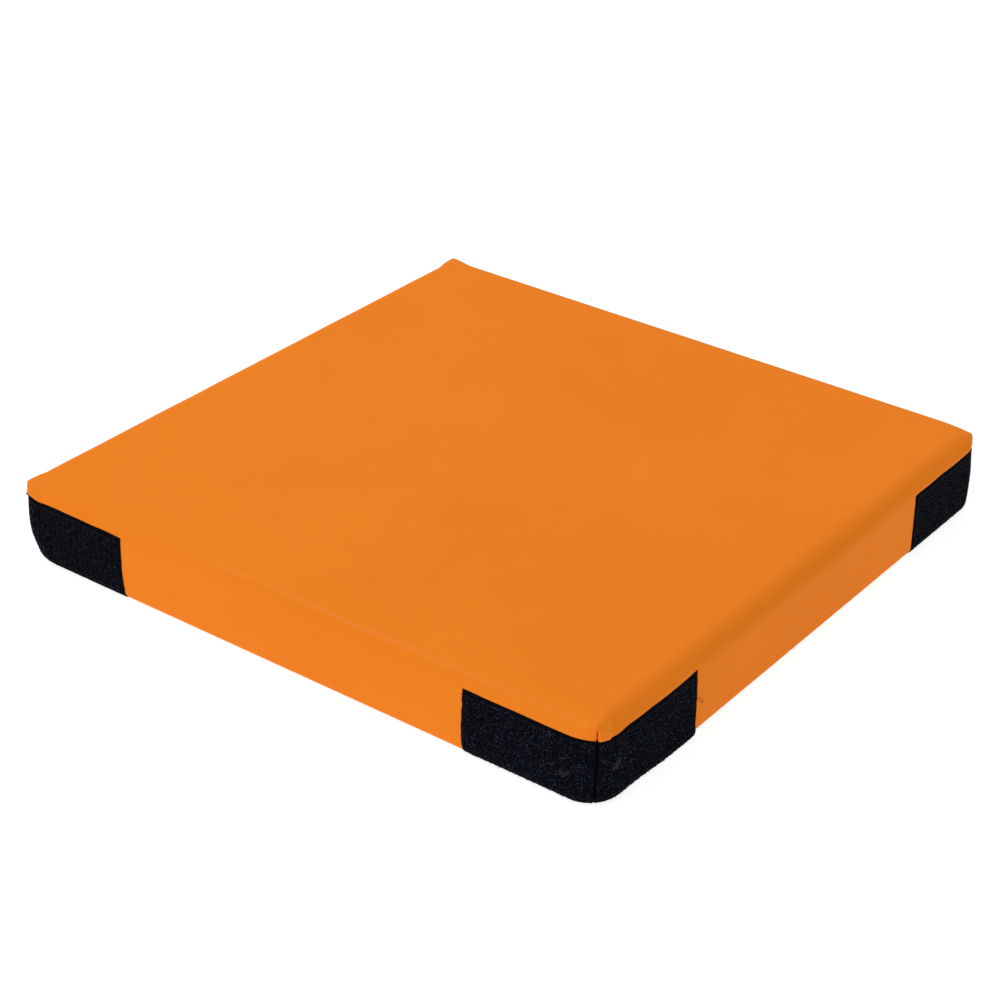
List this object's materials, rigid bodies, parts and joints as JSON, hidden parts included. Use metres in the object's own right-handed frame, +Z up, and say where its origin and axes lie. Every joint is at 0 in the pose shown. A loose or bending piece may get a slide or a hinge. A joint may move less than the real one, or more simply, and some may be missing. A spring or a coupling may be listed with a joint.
{
  "type": "foam floor practice pad",
  "caption": "Square foam practice pad in a smooth orange vinyl cover, with black hook-and-loop tape on the corner faces for joining pads and a zip underneath.",
  "frame": {"origin": "middle of the underside, on the floor", "axes": "+Z up, the shortest way through the pad; the front wall faces -Y, the right wall +X, and the zip runs along X near the rear wall"},
  "size_m": [0.503, 0.503, 0.0616],
  "materials": {
    "vinyl": "satin",
    "foam": "matte",
    "base_fabric": "matte",
    "hook_tape": "matte",
    "loop_tape": "matte",
    "black_thread": "satin",
    "orange_thread": "satin",
    "zip_tape": "matte",
    "zip_coil": "satin",
    "zip_metal": "satin"
  },
  "bodies": {
    "pad": {"foam_core": "foam", "vinyl_cover": "vinyl", "base_panel": "base_fabric", "base_seam_thread": "orange_thread", "corner_seam_front_left": "black_thread", "hook_tape_front_left_front_face": "hook_tape", "stitching_front_left_front_face": "black_thread", "hook_tape_front_left_left_face": "hook_tape", "stitching_front_left_left_face": "black_thread", "corner_seam_front_right": "black_thread", "loop_tape_front_right_right_face": "loop_tape", "stitching_front_right_right_face": "black_thread", "loop_tape_front_right_front_face": "loop_tape", "stitching_front_right_front_face": "black_thread", "corner_seam_rear_right": "black_thread", "hook_tape_rear_right_rear_face": "hook_tape", "stitching_rear_right_rear_face": "black_thread", "hook_tape_rear_right_right_face": "hook_tape", "stitching_rear_right_right_face": "black_thread", "corner_seam_rear_left": "black_thread", "loop_tape_rear_left_left_face": "loop_tape", "stitching_rear_left_left_face": "black_thread", "loop_tape_rear_left_rear_face": "loop_tape", "stitching_rear_left_rear_face": "black_thread", "zip_tape_front": "zip_tape", "zip_coil_front": "zip_coil", "zip_tape_rear": "zip_tape", "zip_coil_rear": "zip_coil", "zip_end_stops": "zip_metal", "zip_stitching_front": "black_thread", "zip_stitching_rear": "black_thread"},
    "slider": {"zip_slider": "zip_metal"},
    "pull": {"zip_pull": "zip_metal"}
  },
  "joints": [
    {"name": "zip_slide", "type": "slide", "parent": "pad", "child": "slider", "axis": [-1, 0, 0], "range_m": [0, 0.392]},
    {"name": "pull_swing", "type": "hinge", "parent": "slider", "child": "pull", "pos_m": [0.196, 0.215, 0.00095], "axis": [0, -1, 0], "range_deg": [0, 180]}
  ]
}
